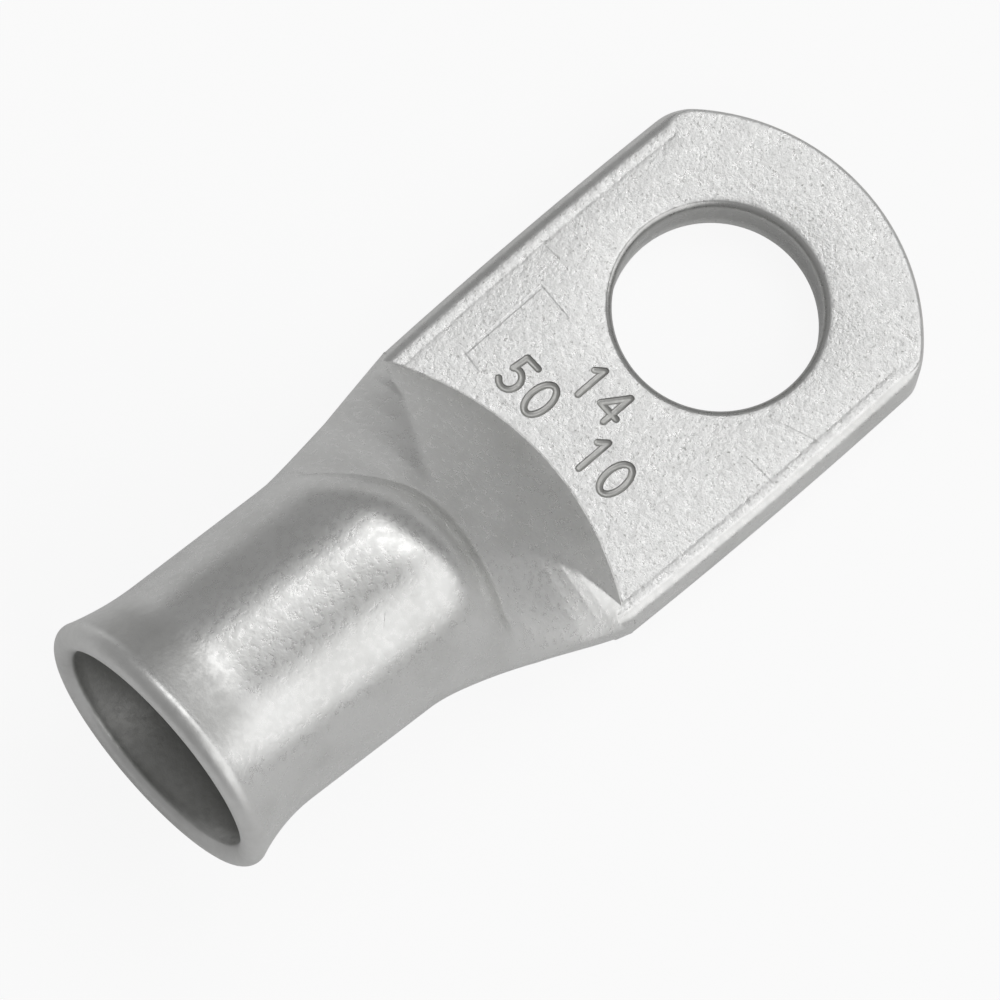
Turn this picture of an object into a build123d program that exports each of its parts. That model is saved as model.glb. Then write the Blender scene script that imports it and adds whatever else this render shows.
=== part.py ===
"""Cable lug pressed from one length of tin-plated copper tube.

Frame: the origin is the centre of the stud hole on the palm's underside. +X runs along the palm, away
from the barrel, +Y is across it and +Z is up, out of the palm's stamped face. Sizes are in millimetres.
"""
import os
from math import copysign, cos, hypot, pi, radians, sin, sqrt, tan

from build123d import *

# The tube
tube_diameter = 13.35
tube_wall = 1.4

# The palm, where the tube is pressed flat until its walls meet
palm_thickness = 2 * tube_wall
palm_width = 18.45
palm_root_waist = 0.25
palm_tip_waist = 0.35
palm_fold_radius = 0.95
palm_trim = 0.05
tongue_length = 1.0
tongue_inset = 3.0
hole_to_tip = 9.55
tip_radius = 11.5
tip_corner_radius = 2.35
tip_edge_radius = 0.3

# The stud hole, punched from above
stud_hole_diameter = 10.3
punch_roll_radius = 0.45
punch_exit_chamfer = 0.12

# The pressed slope from the crease down to the palm
hole_to_slope = 11.5
hole_to_root = 13.75
hole_to_crease = 19.0
slope_angle = 39.5
slope_fullness = 2.8
base_fullness = 8.0
base_overlap = 0.15
root_overlap = 0.03

# The barrel's domed end and the way its sides spread
hole_to_barrel = 25.0
dome_roundness = 3
side_drop = 1.45
spread_ease = 0.15
squaring = 4

# The barrel, pushed and leaning a little to one side, and its flared mouth
hole_to_mouth = 36.85
flare_length = 3.7
flare_growth = 0.62
lip_reach = 0.93
barrel_lean = 1.5
barrel_offset = 0.36

# The hollow's blind end
slot_gap = 0.3
hole_to_slot = 12.4

# Outlines set along the lug
ring_points = 16
ellipse = 2
dome_rings = 5
slope_rings = 4
slot_rings = 4
foot_shares = [1, 0.85, 0.6, 0.35, 0.15, 0.02]
ring_shares = [step / ring_points for step in range(ring_points + 1)]

tube_radius = tube_diameter / 2
bore_radius = tube_radius - tube_wall
stud_hole_radius = stud_hole_diameter / 2
palm_root_width = palm_width - palm_root_waist
palm_tip_width = palm_width - palm_tip_waist
palm_side = palm_thickness - palm_fold_radius
slope_rise = tan(radians(slope_angle))
crease_height = palm_thickness + (hole_to_crease - hole_to_slope) * slope_rise


def spread(x):
    """0 at the end of the round barrel, 1 at the palm's root, with an eased start."""
    share = min(1, max(0, (x + hole_to_barrel) / (hole_to_barrel - hole_to_root)))
    return (hypot(share, spread_ease) - spread_ease) / (hypot(1, spread_ease) - spread_ease)


def middle(x):
    """Where the lug's middle lies across it, between the crease and the barrel."""
    return barrel_offset * max(0, (-x - hole_to_crease) / (hole_to_barrel - hole_to_crease))


def crown(x):
    """Height of the outside: the slope, the dome above the crease or the plain tube."""
    if x > -hole_to_crease:
        return palm_thickness + (-hole_to_slope - x) * slope_rise
    share = max(0, (x + hole_to_barrel) / (hole_to_barrel - hole_to_crease))
    return tube_diameter - (tube_diameter - crease_height) * share**dome_roundness


def side_height(x):
    """Height of the widest line, which drops to the palm's folded edge."""
    return tube_radius + (palm_side - tube_radius) * spread(x) ** side_drop


def half_width(x):
    """From the middle to the widest line."""
    return tube_radius + (palm_root_width / 2 + root_overlap - tube_radius) * spread(x)


def ring(x, reach, side, top, bottom, top_power, bottom_power):
    """Closed outline across the lug at x, rounded above the widest line and below it."""
    points = []
    for step in range(ring_points):
        across = cos(2 * pi * step / ring_points)
        upward = sin(2 * pi * step / ring_points)
        height, power = (top - side, top_power) if upward > 0 else (side - bottom, bottom_power)
        y = middle(x) + reach * copysign(abs(across) ** (2 / power), across)
        z = side + height * copysign(abs(upward) ** (2 / power), upward)
        points.append(Vector(x, y, z))
    return Face(Wire([Edge.make_spline(points, periodic=True, parameters=ring_shares)]))


def outside(x):
    """The lug's outside at x, between the barrel and the palm's root."""
    top_power = ellipse + (slope_fullness - ellipse) * spread(x) ** squaring
    bottom_power = ellipse + (base_fullness - ellipse) * spread(x) ** squaring
    return ring(x, half_width(x), side_height(x), crown(x), -base_overlap * spread(x), top_power, bottom_power)


def foot(share):
    """The slope's foot on the palm, a share of the way from its point back to the root."""
    x = -hole_to_slope - (hole_to_root - hole_to_slope) * share
    reach = (palm_root_width / 2 + root_overlap) * sqrt(share)
    bottom = (palm_side - tube_wall) * (1 - share) - base_overlap * share
    return ring(x, reach, palm_side, crown(x), bottom, slope_fullness, base_fullness)


def hollow(x):
    """The inside at x: one wall in from the outside, closing to a slot."""
    top = max(crown(x) - tube_wall, tube_wall + slot_gap)
    side = min(side_height(x), (top + tube_wall) / 2)
    return ring(x, half_width(x) - tube_wall, side, top, tube_wall, ellipse, ellipse)


def spaced(first, last, count):
    """Evenly spaced places from first to last."""
    return [first + (last - first) * step / (count - 1) for step in range(count)]


dome_places = spaced(-hole_to_barrel, -hole_to_crease, dome_rings)[1:]
slope_places = spaced(-hole_to_crease, -hole_to_root, slope_rings)
slot_places = spaced(-hole_to_crease, -hole_to_slot, slot_rings)

# Barrel's own plane: along the barrel towards its mouth and up, with the round end it shares with the dome
barrel_plane = Plane(
    origin=(-hole_to_barrel, barrel_offset, tube_radius),
    x_dir=(-cos(radians(barrel_lean)), sin(radians(barrel_lean)), 0),
    z_dir=(sin(radians(barrel_lean)), cos(radians(barrel_lean)), 0),
)
round_end = Plane(origin=barrel_plane.origin, x_dir=barrel_plane.z_dir, z_dir=-barrel_plane.x_dir)
barrel_length = hole_to_mouth - hole_to_barrel
flare_end = barrel_length - lip_reach
flare_start = flare_end - flare_length
round_outside = round_end * Circle(tube_radius)
round_hollow = round_end * Circle(bore_radius)

# Palm with folded sides, trimmed to its outline
with BuildPart() as palm:
    with BuildSketch(Plane.YZ.offset(-hole_to_root - tongue_length)):
        with Locations((0, palm_thickness / 2)):
            RectangleRounded(palm_width + 2 * palm_trim, palm_thickness, palm_fold_radius)
    extrude(amount=tongue_length + hole_to_root + hole_to_tip)
    with BuildSketch() as outline:
        with BuildLine():
            corner_place = hole_to_tip - tip_radius + sqrt(tip_radius**2 - (palm_tip_width / 2) ** 2)
            widest_place = (corner_place - hole_to_root) / 2
            left_side = ThreePointArc(
                (-hole_to_root, palm_root_width / 2),
                (widest_place, palm_width / 2),
                (corner_place, palm_tip_width / 2),
            )
            right_side = ThreePointArc(
                (-hole_to_root, -palm_root_width / 2),
                (widest_place, -palm_width / 2),
                (corner_place, -palm_tip_width / 2),
            )
            ThreePointArc(left_side @ 1, (hole_to_tip, 0), right_side @ 1)
            left_tongue = Line(left_side @ 0, left_side @ 0 - Vector(tongue_length, tongue_inset))
            right_tongue = Line(right_side @ 0, right_side @ 0 - Vector(tongue_length, -tongue_inset))
            Line(left_tongue @ 1, right_tongue @ 1)
        make_face()
        fillet(outline.vertices().group_by(Axis.X)[-1], tip_corner_radius)
    extrude(amount=palm_thickness, mode=Mode.INTERSECT)
    tip_edges = palm.edges().filter_by(lambda edge: edge.center().X > corner_place - tip_corner_radius)
    fillet(tip_edges.filter_by(lambda edge: edge.center().Z > palm_side), tip_edge_radius)

with BuildPart() as cable_lug:
    # Domed end, slope and its foot, pressed hollow and closing to a slot
    loft(sections=[round_outside] + [outside(x) for x in dome_places])
    loft(sections=[outside(x) for x in slope_places])
    loft(sections=[foot(share) for share in foot_shares])
    add(palm.part)
    loft(sections=[round_hollow] + [hollow(x) for x in dome_places], mode=Mode.SUBTRACT)
    loft(sections=[hollow(x) for x in slot_places], mode=Mode.SUBTRACT)

    # Round barrel with its flared and rolled mouth
    with BuildSketch(barrel_plane) as barrel_wall:
        with BuildLine():
            outer_flare = TangentArc(
                (flare_start, tube_radius), (flare_end, tube_radius + flare_growth), tangent=(1, 0)
            )
            across_wall = (outer_flare % 1).rotate(Axis.Z, -90) * tube_wall
            lip = TangentArc(outer_flare @ 1, outer_flare @ 1 + across_wall, tangent=outer_flare % 1)
            inner_flare = TangentArc((flare_start, bore_radius), lip @ 1, tangent=(1, 0))
            Line(inner_flare @ 0, (0, bore_radius))
            Line((0, bore_radius), (0, tube_radius))
            Line((0, tube_radius), outer_flare @ 0)
        make_face()
    revolve(axis=Axis(barrel_plane.origin, barrel_plane.x_dir))

    # Stud hole, rolled over where the punch went in
    Hole(stud_hole_radius, depth=palm_thickness)
    rims = cable_lug.edges().filter_by(GeomType.CIRCLE)
    rims = rims.filter_by(lambda edge: abs(edge.radius - stud_hole_radius) < tip_edge_radius)
    fillet(rims.sort_by(Axis.Z)[-1], punch_roll_radius)
    chamfer(rims.sort_by(Axis.Z)[0], punch_exit_chamfer)

    # Underside of the slope trimmed to the palm's plane
    with Locations((-hole_to_barrel, 0, 0)):
        Box(
            hole_to_barrel + hole_to_tip,
            2 * palm_width,
            palm_thickness,
            align=(Align.MIN, Align.CENTER, Align.MAX),
            mode=Mode.SUBTRACT,
        )

cable_lug.part.label = "cable_lug"
os.makedirs("parts", exist_ok=True)
export_step(cable_lug.part, "parts/cable_lug.step")
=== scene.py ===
import math

import bpy
import numpy as np
from mathutils import Matrix, Vector


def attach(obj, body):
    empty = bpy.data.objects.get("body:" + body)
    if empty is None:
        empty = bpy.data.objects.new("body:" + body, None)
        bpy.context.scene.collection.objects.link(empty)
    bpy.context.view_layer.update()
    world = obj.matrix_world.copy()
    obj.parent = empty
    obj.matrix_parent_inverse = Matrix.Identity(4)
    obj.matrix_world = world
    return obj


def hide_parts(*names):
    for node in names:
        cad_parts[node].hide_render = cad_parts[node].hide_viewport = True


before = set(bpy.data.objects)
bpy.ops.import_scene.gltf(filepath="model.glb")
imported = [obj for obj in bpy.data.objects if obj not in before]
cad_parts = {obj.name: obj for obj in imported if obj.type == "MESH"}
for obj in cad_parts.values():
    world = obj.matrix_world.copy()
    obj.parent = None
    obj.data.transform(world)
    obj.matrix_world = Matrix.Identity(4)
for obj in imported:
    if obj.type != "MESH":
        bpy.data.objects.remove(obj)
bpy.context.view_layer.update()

# Pressed tube: one length of copper tube, round and flared at the cable's end and squeezed shut
# towards the palm by a sloping die. Its skin is closed: over the outside, round the rolled lip
# and back up the bore. Lengths are in millimetres, and places along it count from the stud hole.
MM = 0.001
tube_radius, wall = 6.675, 1.4
mouth, flare, barrel, crease, root, foot = -37.0, -32.3, -25.0, -19.0, -13.75, -11.5
root_reach, palm_thickness, fold_height = 9.13, 2.8, 1.85
outer_growth, inner_growth, lip_radius = 0.6, 0.76, 0.69
slope, foot_curve = math.tan(math.radians(39.5)), 0.0335
start_ease, side_drop, nose_fall = 0.15, 1.32, 4.75
buried_height, slot_height = 2.2, 0.3
turn = np.linspace(0, 2 * np.pi, 220, endpoint=False)

# Edges of the slope's flat fan: place along the lug, and distance from its middle on each side
fan_start = -19.4
fan_left = [(fan_start, 0.6), (-18.06, 1.91), (-16.57, 4.19), (-15.22, 6.39), (-14.9, 7.4), (-14.3, 8.4)]
fan_right = [(fan_start, 2.2), (-17.38, 2.97), (-16.13, 3.66), (-15.3, 4.49), (-14.69, 5.57)]
fan_right += [(-14.28, 6.8), (-13.8, 8.4)]


def skin(name, rings):
    """Closed mesh through rings of equally many points, with both ends capped."""
    count, size = len(rings), len(rings[0])
    faces = []
    for i in range(count - 1):
        for j in range(size):
            following = (j + 1) % size
            near, far = i * size, (i + 1) * size
            faces.append((near + j, near + following, far + following, far + j))
    faces.append(tuple(range(size))[::-1])
    faces.append(tuple((count - 1) * size + j for j in range(size)))
    mesh = bpy.data.meshes.new(name)
    mesh.from_pydata([tuple(point) for point in np.concatenate(rings) * MM], [], faces)
    made = bpy.data.objects.new(name, mesh)
    bpy.context.scene.collection.objects.link(made)
    return made


def across(x):
    """Where the lug's middle lies: the barrel leans to one side and its flare leans back."""
    return max(0.0, -19.05 - x) * 0.0535 - 0.25 * max(0.0, (flare - x) / 4.5) ** 2


def grown(x):
    """How far the flare has opened outside at x."""
    return outer_growth * max(0.0, (flare - x) / 3.65) ** 2


def round_ring(x, radius):
    """A round of the tube at x."""
    y = across(x) + radius * np.cos(turn)
    return np.stack([np.full(len(turn), x), y, tube_radius + radius * np.sin(turn)], 1)


def softly(first, second, reach):
    """The lower of two heights, rounded over where they cross."""
    share = np.clip(0.5 + (second - first) / (2 * reach), 0, 1)
    return first * share + second * (1 - share) - reach * share * (1 - share)


def die_height(x, y):
    """Height of the slope that the die leaves. Its foot on the palm is an arc."""
    return palm_thickness + slope * (foot - x - foot_curve * y**2)


def pressed_top(x, y, reach, side):
    """Top of the tube between barrel and palm: the barrel's nose, and the die's fan with the
    shoulders that fall from its edges to the tube's widest line."""
    straight = min(1.0, (x - barrel) / (crease - barrel))
    power = 2 - 0.75 * straight**1.5 - 0.15 * min(1.0, max(0.0, (x - crease) / 2.5))
    ease = 0.01 + 1.6 * straight
    width = math.hypot(reach, ease) - ease

    def flank(y):
        """Share of the shoulder's height that is left at y."""
        share = np.minimum(1, (np.hypot(y, ease) - ease) / width)
        return np.maximum(1e-9, 1 - share**power) ** (1 / power)

    front = -18.55 - np.where(y > 0, 0.11, 0.03) * np.minimum(np.abs(y), 5.5) ** 2
    dome = np.maximum(0, (x - barrel) / (front - barrel))
    nose_reach = tube_radius + 0.4 * (reach - tube_radius)
    arch = np.sqrt(np.maximum(0, 1 - (y / nose_reach) ** 2))
    fall = nose_fall * dome ** (4 + np.clip(-y / 2, 0, 1)) * (0.2 + 0.8 * arch)
    nose = side + (2 * tube_radius - side) * arch - fall

    fan = np.where(y > 0, np.interp(x, *zip(*fan_left)), np.interp(x, *zip(*fan_right)))
    fan = np.minimum(fan, 0.93 * reach)
    fan_height = die_height(max(x, fan_start), fan)
    crown = side + np.maximum(0.05, fan_height - side) / flank(fan)
    blend = min(1.0, (x - barrel) / 5.6)
    crown = (2 * tube_radius - 1) * (1 - blend) + crown * blend
    shoulder = side + (crown - side) * flank(y)
    pressed = softly(np.maximum(die_height(x, y), buried_height), shoulder, 0.15)
    return -softly(-nose, -pressed, 0.3 * min(1.0, (x - barrel) / 3))


def pressed_ring(x):
    """Outside of the tube at x: round, then spreading as it drops, with its top under the die."""
    spread = min(1.0, max(0.0, (x - barrel) / (root - barrel)))
    spread = (math.hypot(spread, start_ease) - start_ease) / (math.hypot(1, start_ease) - start_ease)
    sunk = min(1.0, max(0.0, (x - root) / 0.2))
    reach = tube_radius + grown(x) + (root_reach - tube_radius) * spread - 0.2 * sunk
    side = tube_radius + (fold_height - tube_radius) * spread**side_drop
    low = 0.02 * spread + 0.3 * sunk - grown(x)
    square = 2 / (2 + 6 * spread**4)
    cosine, sine = np.cos(turn), np.sin(turn)
    y = reach * np.where(sine < 0, np.sign(cosine) * np.abs(cosine) ** square, cosine)
    lower = side - (side - low) * np.abs(sine) ** square
    if x <= barrel:
        upper = side + (side - low) * np.abs(sine)
    elif x < root:
        upper = pressed_top(x, y, reach, side)
    else:
        upper = np.maximum(die_height(x, y), buried_height)
    return np.stack([np.full(len(turn), x), y + across(x), np.where(sine < 0, lower, upper)], 1)


rings = [pressed_ring(x) for x in np.arange(foot + 0.2, crease - 1, -0.075)]
rings += [pressed_ring(x) for x in np.arange(crease - 1, barrel - 1, -0.2)]
rings += [pressed_ring(x) for x in np.arange(barrel - 1, mouth + 1.0, -0.3)]
for heading in np.radians(np.linspace(112, -68, 26)):
    x = mouth + lip_radius * (1 - math.cos(heading))
    rings.append(round_ring(x, tube_radius + lip_radius * math.sin(heading)))
for x in np.arange(mouth + 0.6, barrel, 0.4):
    rings.append(round_ring(x, tube_radius - wall + inner_growth * max(0.0, (flare - x) / 4.1) ** 2))
for x in np.arange(barrel, root, 0.4):
    ring = pressed_ring(x)
    reach = (ring[:, 1].max() - ring[:, 1].min()) / 2
    ring[:, 1] = across(x) + (ring[:, 1] - across(x)) * (reach - wall) / reach
    height = max(slot_height, ring[:, 2].max() - wall - wall)
    ring[:, 2] = wall + (ring[:, 2] - ring[:, 2].min()) * height / np.ptp(ring[:, 2])
    rings.append(ring)
lug = skin("lug_skin", [ring[::-1] for ring in rings])

# Palm: the end of the same tube, pressed flat until its walls meet and trimmed to a round end.
# Its long sides are folds, with the die's shallow step just inside them, and its end is cut.
tip, tip_radius, palm_reach = 9.55, 11.5, 9.265
corner = tip - tip_radius + math.sqrt(tip_radius**2 - 9.05**2)
widest = (root + corner) / 2
plan = [(-15.2, 7.6), (-14.9, 8.4), (-14.6, 8.88), (-14.3, 8.97), (-14.0, 9.06)]
for x in np.linspace(root, corner - 0.8, 60):
    plan.append((x, palm_reach - 0.15 * ((x - widest) / (corner - widest)) ** 2))
arc = []
for angle in np.linspace(0.71, 0, 30):
    arc.append((tip - tip_radius + tip_radius * math.cos(angle), tip_radius * math.sin(angle)))
first, last, pull = np.array(plan[-1]), np.array(arc[0]), np.array([corner + 0.25, 9.12])
for t in np.linspace(0, 1, 22)[1:-1]:
    plan.append(tuple((1 - t) ** 2 * first + 2 * t * (1 - t) * pull + t * t * last))
plan = np.array(plan + arc)
plan = np.concatenate([plan, (plan * [1, -1])[::-1][1:]])[::-1]
run = np.roll(plan, -1, 0) - np.roll(plan, 1, 0)
inward = np.stack([-run[:, 1], run[:, 0]], 1) / np.linalg.norm(run, axis=1)[:, None]
hidden = plan[:, 0] < root + 0.01
inward[hidden] = np.stack([0 * plan[hidden, 0], -np.sign(plan[hidden, 1])], 1)
trimmed = np.clip((plan[:, 0] - corner + 0.6) / 1.2, 0, 1)[:, None]


def edge(low, high):
    """Inset and height of the palm's edge, round below by low and above by high."""
    bend = np.linspace(0, math.pi / 2, 12)
    under = [(low * (1 - math.sin(a)), low * (1 - math.cos(a))) for a in bend]
    over = [(high * (1 - math.cos(a)), palm_thickness - high * (1 - math.sin(a))) for a in bend]
    return under + over


folded = edge(1.0, 0.95) + [(1.03, 2.79), (1.13, 2.765), (1.23, 2.76), (1.33, 2.775), (1.45, 2.8)]
cut = edge(0.15, 0.3) + [(0.5, 2.8), (0.7, 2.8), (0.9, 2.8), (1.1, 2.8), (1.45, 2.8)]
levels = []
for side, end in zip(folded, cut):
    inset, height = (side[k] * (1 - trimmed) + end[k] * trimmed for k in (0, 1))
    levels.append(np.concatenate([plan + inward * inset, height], 1))
palm = skin("palm_blank", levels)


def combine(piece, other, operation):
    """Joins or cuts a piece with another mesh, which is used up."""
    step = piece.modifiers.new(operation, "BOOLEAN")
    step.operation, step.object, step.solver = operation, other, "EXACT"
    bpy.ops.object.select_all(action="DESELECT")
    piece.select_set(True)
    bpy.context.view_layer.objects.active = piece
    bpy.ops.object.modifier_apply(modifier=step.name)
    bpy.data.objects.remove(other)


combine(lug, palm, "UNION")

# Stud hole: punched from above through both walls, so its upper rim is rolled in and its lower
# one barely broken. The profile is given as radius and height.
hole_radius, roll_radius, sides = 5.15, 0.55, 160
rim = [(5.4, -1.0), (5.27, -0.01), (hole_radius, 0.12), (hole_radius, 2.2)]
for angle in np.linspace(0.1, 1.5, 9):
    bend = hole_radius + roll_radius * (1 - math.cos(angle))
    rim.append((bend, 2.25 + roll_radius * math.sin(angle)))
rim += [(5.78, 2.82), (5.9, 4.0)]
around = np.linspace(0, 2 * np.pi, sides, endpoint=False)
punch = []
for radius, height in rim:
    punch.append(np.stack([radius * np.cos(around), radius * np.sin(around), np.full(sides, height)], 1))
combine(lug, skin("punch", punch), "DIFFERENCE")

# Stamps: plain numbers struck into the palm, as round-bottomed grooves. They read across the
# palm, so a figure's width lies along -Y and its height along +X.
figure_width, figure_step, stroke_radius, stroke_height = 1.25, 1.65, 0.2, palm_thickness + 0.05


def bow(middle_x, middle_y, wide, tall, start, end):
    """Points along part of an oval in a figure's own square."""
    angles = np.linspace(start, end, 14)
    return [(middle_x + wide * math.cos(a), middle_y + tall * math.sin(a)) for a in angles]


figures = {
    "0": [bow(0.5, 0.5, 0.42, 0.5, -1.6, 1.6), bow(0.5, 0.5, 0.42, 0.5, 1.54, 4.74)],
    "1": [[(0.25, 0.8), (0.55, 1.0)], [(0.55, 1.0), (0.55, 0.0)]],
    "4": [[(0.7, 0.0), (0.7, 1.0)], [(0.7, 1.0), (0.05, 0.3)], [(0.05, 0.3), (0.95, 0.3)]],
    "5": [
        [(0.85, 1.0), (0.25, 1.0)],
        [(0.25, 1.0), (0.18, 0.55)],
        bow(0.42, 0.31, 0.42, 0.31, 2.2, -2.4),
    ],
}


def groove(points, radius, height):
    """A round-bottomed, round-ended groove pressed along a line of points on the palm."""
    path = np.array(points, float)
    heads = np.gradient(path, axis=0)
    heads /= np.linalg.norm(heads, axis=1)[:, None]
    stations = []
    for a in (0.15, 0.6, 1.1):
        stations.append((path[0] - heads[0] * radius * math.cos(a), heads[0], math.sin(a)))
    stations += [(place, head, 1.0) for place, head in zip(path, heads)]
    for a in (1.1, 0.6, 0.15):
        stations.append((path[-1] + heads[-1] * radius * math.cos(a), heads[-1], math.sin(a)))
    sweep = np.linspace(0, 2 * np.pi, 14, endpoint=False)
    rings = []
    for place, head, share in stations:
        aside = radius * share * np.cos(sweep)[:, None] * np.array([-head[1], head[0]])
        rings.append(np.column_stack([place + aside, height + radius * share * np.sin(sweep)]))
    combine(lug, skin("stroke", rings), "DIFFERENCE")


for text, x, y, tall in (("50", -10.7, 4.5, 1.95), ("10", -10.65, -0.9, 1.95), ("14", -8.15, 1.9, 1.8)):
    for place, figure in enumerate(text):
        left = y - place * figure_step
        for stroke in figures[figure]:
            points = [(x + v * tall, left - u * figure_width) for u, v in stroke]
            groove(points, stroke_radius, stroke_height)

bpy.ops.object.select_all(action="DESELECT")
lug.select_set(True)
bpy.context.view_layer.objects.active = lug
bpy.ops.object.shade_smooth_by_angle(angle=math.radians(28))


# Tin plating over the copper: satin on the drawn barrel, bright and finely pitted on the palm
# where the die pressed it, and an olive film on the trimmed end. The stamps, the crease band, the
# bore and the neck get painted shade: a darker colour and, except in the crease band, a rougher finish.
class Value:
    """A socket's value, with which sums can be written."""

    def __init__(self, tree, socket):
        self.tree, self.socket = tree, socket

    def node(self, kind, inputs, output=0, **settings):
        made = self.tree.nodes.new(kind)
        for name, value in settings.items():
            setattr(made, name, value)
        for name, value in inputs.items():
            if isinstance(value, Value):
                self.tree.links.new(value.socket, made.inputs[name])
            else:
                made.inputs[name].default_value = value
        return Value(self.tree, made.outputs[output])

    def math(self, operation, first, second):
        return self.node("ShaderNodeMath", {0: first, 1: second}, operation=operation)

    def __add__(self, other):
        return self.math("ADD", self, other)

    def __sub__(self, other):
        return self.math("SUBTRACT", self, other)

    def __rsub__(self, other):
        return self.math("SUBTRACT", other, self)

    def __mul__(self, other):
        return self.math("MULTIPLY", self, other)

    __radd__, __rmul__ = __add__, __mul__

    def between(self, low, high, start=0.0, end=1.0):
        """Eased from start to end as this value goes from low to high."""
        inputs = {"Value": self, "From Min": low, "From Max": high, "To Min": start, "To Max": end}
        return self.node("ShaderNodeMapRange", inputs, interpolation_type="SMOOTHSTEP")

    def noise(self, scale, detail, roughness):
        inputs = {"Vector": self, "Scale": scale, "Detail": detail, "Roughness": roughness}
        return self.node("ShaderNodeTexNoise", inputs)

    def size(self):
        return self.math("ABSOLUTE", self, 0.0)

    def tint(self, first, second):
        """The first colour where this value is 0 and the second where it is 1."""
        return self.node("ShaderNodeMix", {0: self, 6: first, 7: second}, output=2, data_type="RGBA")


tin = bpy.data.materials.new("tinned_copper")
tin.use_nodes = True
tree, shader = tin.node_tree, tin.node_tree.nodes["Principled BSDF"]
spot = Value(tree, tree.nodes.new("ShaderNodeTexCoord").outputs["Object"])
parts = tree.nodes.new("ShaderNodeSeparateXYZ")
tree.links.new(spot.socket, parts.inputs[0])
x, y, z = (Value(tree, socket) * 1000 for socket in parts.outputs)


def scored(start, end, width):
    """1 on a thin straight line across the palm, in millimetres, and 0 beside it."""
    run = np.subtract(end, start)
    length = float(np.hypot(*run))
    ahead_x, ahead_y = (float(part) for part in run / length)
    along = (x - start[0]) * ahead_x + (y - start[1]) * ahead_y
    aside = ((y - start[1]) * ahead_x - (x - start[0]) * ahead_y).size()
    beside = 1 - aside.between(0.3 * width, width)
    return beside * along.between(-0.1, 0.1) * (1 - along.between(length - 0.2, length + 0.2))


# Where each finish lies, and where painted shade darkens the colour
palm_face = z.between(2.72, 2.78) * (1 - z.between(2.83, 2.9)) * x.between(-14.3, -13.9)
# Stamps: painted shade darkens the grooves, which are also rougher.
stamp = (1 - z.between(2.66, 2.79)) * z.between(2.3, 2.4) * x.between(-12.9, -12.8)
stamp = stamp * (1 - x.between(-6.0, -5.8)) * (1 - y.size().between(7.7, 7.9))
# Bore: painted shade darkens the inside of the tube, which is also rougher.
bore_y, bore_z = y + 0.0535 * x + 0.9, z - tube_radius
inside = 1 - (bore_y * bore_y + bore_z * bore_z).between(36.5, 39.5)
inside = inside * (1 - x.between(-26.0, -24.0)) * x.between(mouth + 0.35, mouth + 0.6)
lip = 1 - x.between(mouth + 0.5, mouth + 1.0)
# Neck of the flare: painted shade dulls the highlight that would run on to the lip, and the neck is also
# rougher.
neck = (1 - x.between(-34.4, -32.8)) * x.between(mouth + 0.9, mouth + 1.3)
neck = neck * z.between(9, 12) * y.between(-3.2, -1.2)
trim = (1 - z.between(2.5, 2.75)) * x.between(6.0, 8.0)
hole = (1 - (x * x + y * y).between(27.5, 30.5)) * z.between(0.3, 1.2)
# Painted shade in the dark band round the barrel's nose, just before the crease.
crease_shade = x + 18.6 + y * y * (0.04 + 0.08 * y.between(-0.5, 0.5))
crease_shade = crease_shade.between(-2.6, -1.2) * (1 - crease_shade.between(-0.4, 0.2)) * z.between(7.2, 8.2)
crease_shade = crease_shade * (1 - y.size().between(2.5, 5.5))

# Edge of another die, and scratches on the palm and the barrel
marks = (
    scored((-11.08, 5.25), (-10.98, 6.37), 0.14)
    + scored((-10.98, 6.37), (-5.84, 6.42), 0.11)
    + scored((-5.84, 6.42), (-5.95, 4.36), 0.14)
)
scratches = (
    scored((-4.14, -6.55), (-4.07, -8.3), 0.1)
    + scored((-1.93, -5.78), (-1.02, -8.12), 0.08)
    + scored((-1.02, -8.12), (-1.78, -7.72), 0.08)
    + scored((-4.28, 7.97), (-4.24, 6.86), 0.08)
    + 0.4 * scored((-25.3, -2.5), (-25.8, -3.0), 0.07) * z.between(9, 10)
)

# Colours
coarse, fine = spot.noise(2600, 3.0, 0.6), spot.noise(6000, 4.0, 0.7)
cloud, mottle = spot.noise(300, 3.0, 0.55), spot.noise(1300, 4.0, 0.75)
pits = fine.between(0.57, 0.69) * palm_face
# Dull tin for the palm's pits, and also the painted shade in the stamps.
dull_tin_and_stamp_shade = (0.5, 0.5, 0.485, 1)
colour = (cloud.between(0.4, 0.75) * 0.35 + pits).tint((0.69, 0.69, 0.68, 1), dull_tin_and_stamp_shade)
bright = palm_face * (1 - pits) * mottle.between(0.25, 0.6, 0.55, 1.0)
colour = bright.tint(colour, (0.93, 0.93, 0.92, 1))
colour = trim.tint(colour, (0.56, 0.55, 0.5, 1))
# Painted shade in the crease band.
colour = (crease_shade * 0.7).tint(colour, (0.46, 0.46, 0.45, 1))
# Painted shade on the neck of the flare.
colour = (neck * 0.6).tint(colour, (0.42, 0.42, 0.41, 1))
# Painted shade in the stamps' grooves.
colour = stamp.tint(colour, dull_tin_and_stamp_shade)
colour = hole.tint(colour, (0.46, 0.46, 0.45, 1))
# Painted shade in the bore.
colour = inside.tint(colour, (0.34, 0.34, 0.33, 1))
tree.links.new(colour.socket, shader.inputs["Base Color"])
shader.inputs["Metallic"].default_value = 1.0

# Roughness and relief
rough = coarse.between(0.35, 0.65, 0.26, 0.36) + palm_face * mottle.between(0.35, 0.65, 0.0, 0.16)
rough = rough + (stamp + inside + lip + neck) * 0.14 + pits * 0.1
tree.links.new(rough.socket, shader.inputs["Roughness"])
relief = fine * (palm_face * 1.1 + 0.25) + coarse * (palm_face * 1.4 + 0.45)
relief = relief - marks * 0.8 - scratches * 0.5
bump = spot.node("ShaderNodeBump", {"Height": relief, "Strength": 0.6, "Distance": 0.00005})
tree.links.new(bump.socket, shader.inputs["Normal"])
lug.data.materials.append(tin)
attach(lug, "root")
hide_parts("cable_lug")

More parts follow.
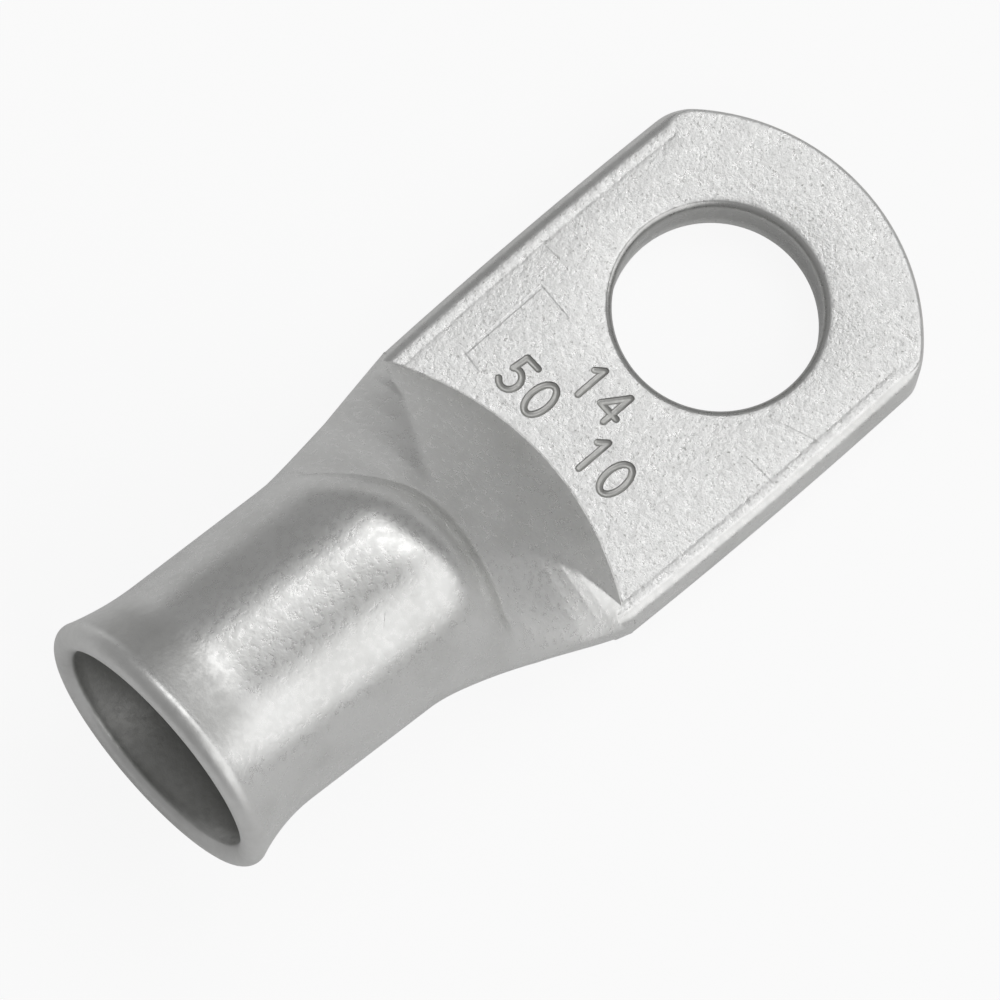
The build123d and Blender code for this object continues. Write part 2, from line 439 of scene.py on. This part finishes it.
# Floor: a plain pale table. The lug rests on it with the end of its palm and its flared lip, so
# it slopes a little against the palm. Seen directly it is white but for the lug's shadow.
floor_tilt = math.radians(-0.9)
bpy.ops.object.select_all(action="DESELECT")
bpy.ops.mesh.primitive_plane_add(size=6)
table = bpy.context.object
table.name = "floor"
table.data.transform(Matrix.Translation((9.5 * MM, 0, 0)) @ Matrix.Rotation(floor_tilt, 4, "Y"))
paint = bpy.data.materials.new("floor_white")
paint.use_nodes = True
tree, shader = paint.node_tree, paint.node_tree.nodes["Principled BSDF"]
shader.inputs["Base Color"].default_value = (0.85, 0.85, 0.85, 1)
shader.inputs["Roughness"].default_value = 0.9
glow = tree.nodes.new("ShaderNodeEmission")
blend = tree.nodes.new("ShaderNodeMixShader")
rays = tree.nodes.new("ShaderNodeLightPath")
seen, mirrored = (Value(tree, rays.outputs[ray]) for ray in ("Is Camera Ray", "Is Glossy Ray"))
white = seen * 0.9 + mirrored * 0.14
for source, place in ((white.socket, 0), (shader.outputs[0], 1), (glow.outputs[0], 2)):
    tree.links.new(source, blend.inputs[place])
tree.links.new(blend.outputs[0], tree.nodes["Material Output"].inputs[0])
table.data.materials.append(paint)

# Camera: a long lens above the barrel's side, where the photograph was taken from. The stud
# hole's place in the picture is given in pixels across and down.
theta, azimuth, roll = (math.radians(angle) for angle in (17.62, 33.14, 40.42))
pixels_per_mm, distance, frame_width = 20.535, 1306.4, 1000
hole_across, hole_down = 713.23 - frame_width / 2, 324.51 - frame_width / 2
flat = math.sin(theta)
back = Vector((-flat * math.cos(azimuth), -flat * math.sin(azimuth), math.cos(theta)))
level = (Vector((1, 0, 0)) - back * back.x).normalized()
right = Matrix.Rotation(-roll, 3, back) @ level
up = back.cross(right)
place = back * distance - right * hole_across / pixels_per_mm + up * hole_down / pixels_per_mm
turned = Matrix((right, up, back)).transposed().to_4x4()
camera = bpy.data.objects.new("camera", bpy.data.cameras.new("camera"))
bpy.context.scene.collection.objects.link(camera)
camera.matrix_world = Matrix.Translation(place * MM) @ turned
camera.data.lens = pixels_per_mm * distance * camera.data.sensor_width / frame_width
camera.data.clip_start, camera.data.clip_end = 0.1, 10
bpy.context.scene.camera = camera


# Studio light: a soft panel overhead, beyond the palm's end, a larger one on the lug's near
# side, and a plain grey room around them.
def panel(name, direction, wide, deep, radiance):
    """A soft panel that faces the lug from a direction, at arm's length."""
    light = bpy.data.lights.new(name, "AREA")
    light.shape, light.size, light.size_y = "RECTANGLE", wide, deep
    light.energy = radiance * math.pi * wide * deep
    lamp = bpy.data.objects.new(name, light)
    aim = Vector(direction).normalized()
    lamp.location = Vector((-0.012, 0, 0.004)) + aim * 0.6
    lamp.rotation_euler = aim.to_track_quat("Z", "Y").to_euler()
    bpy.context.scene.collection.objects.link(lamp)


panel("overhead_panel", (0.45, 0.12, 0.88), 0.48, 0.32, 1.45)
panel("side_panel", (0.28, -0.77, 0.57), 0.9, 0.54, 0.95)
world = bpy.data.worlds.new("room")
world.use_nodes = True
world.node_tree.nodes["Background"].inputs["Color"].default_value = (0.34, 0.34, 0.34, 1)
bpy.context.scene.world = world
bpy.context.scene.view_settings.view_transform = "Standard"
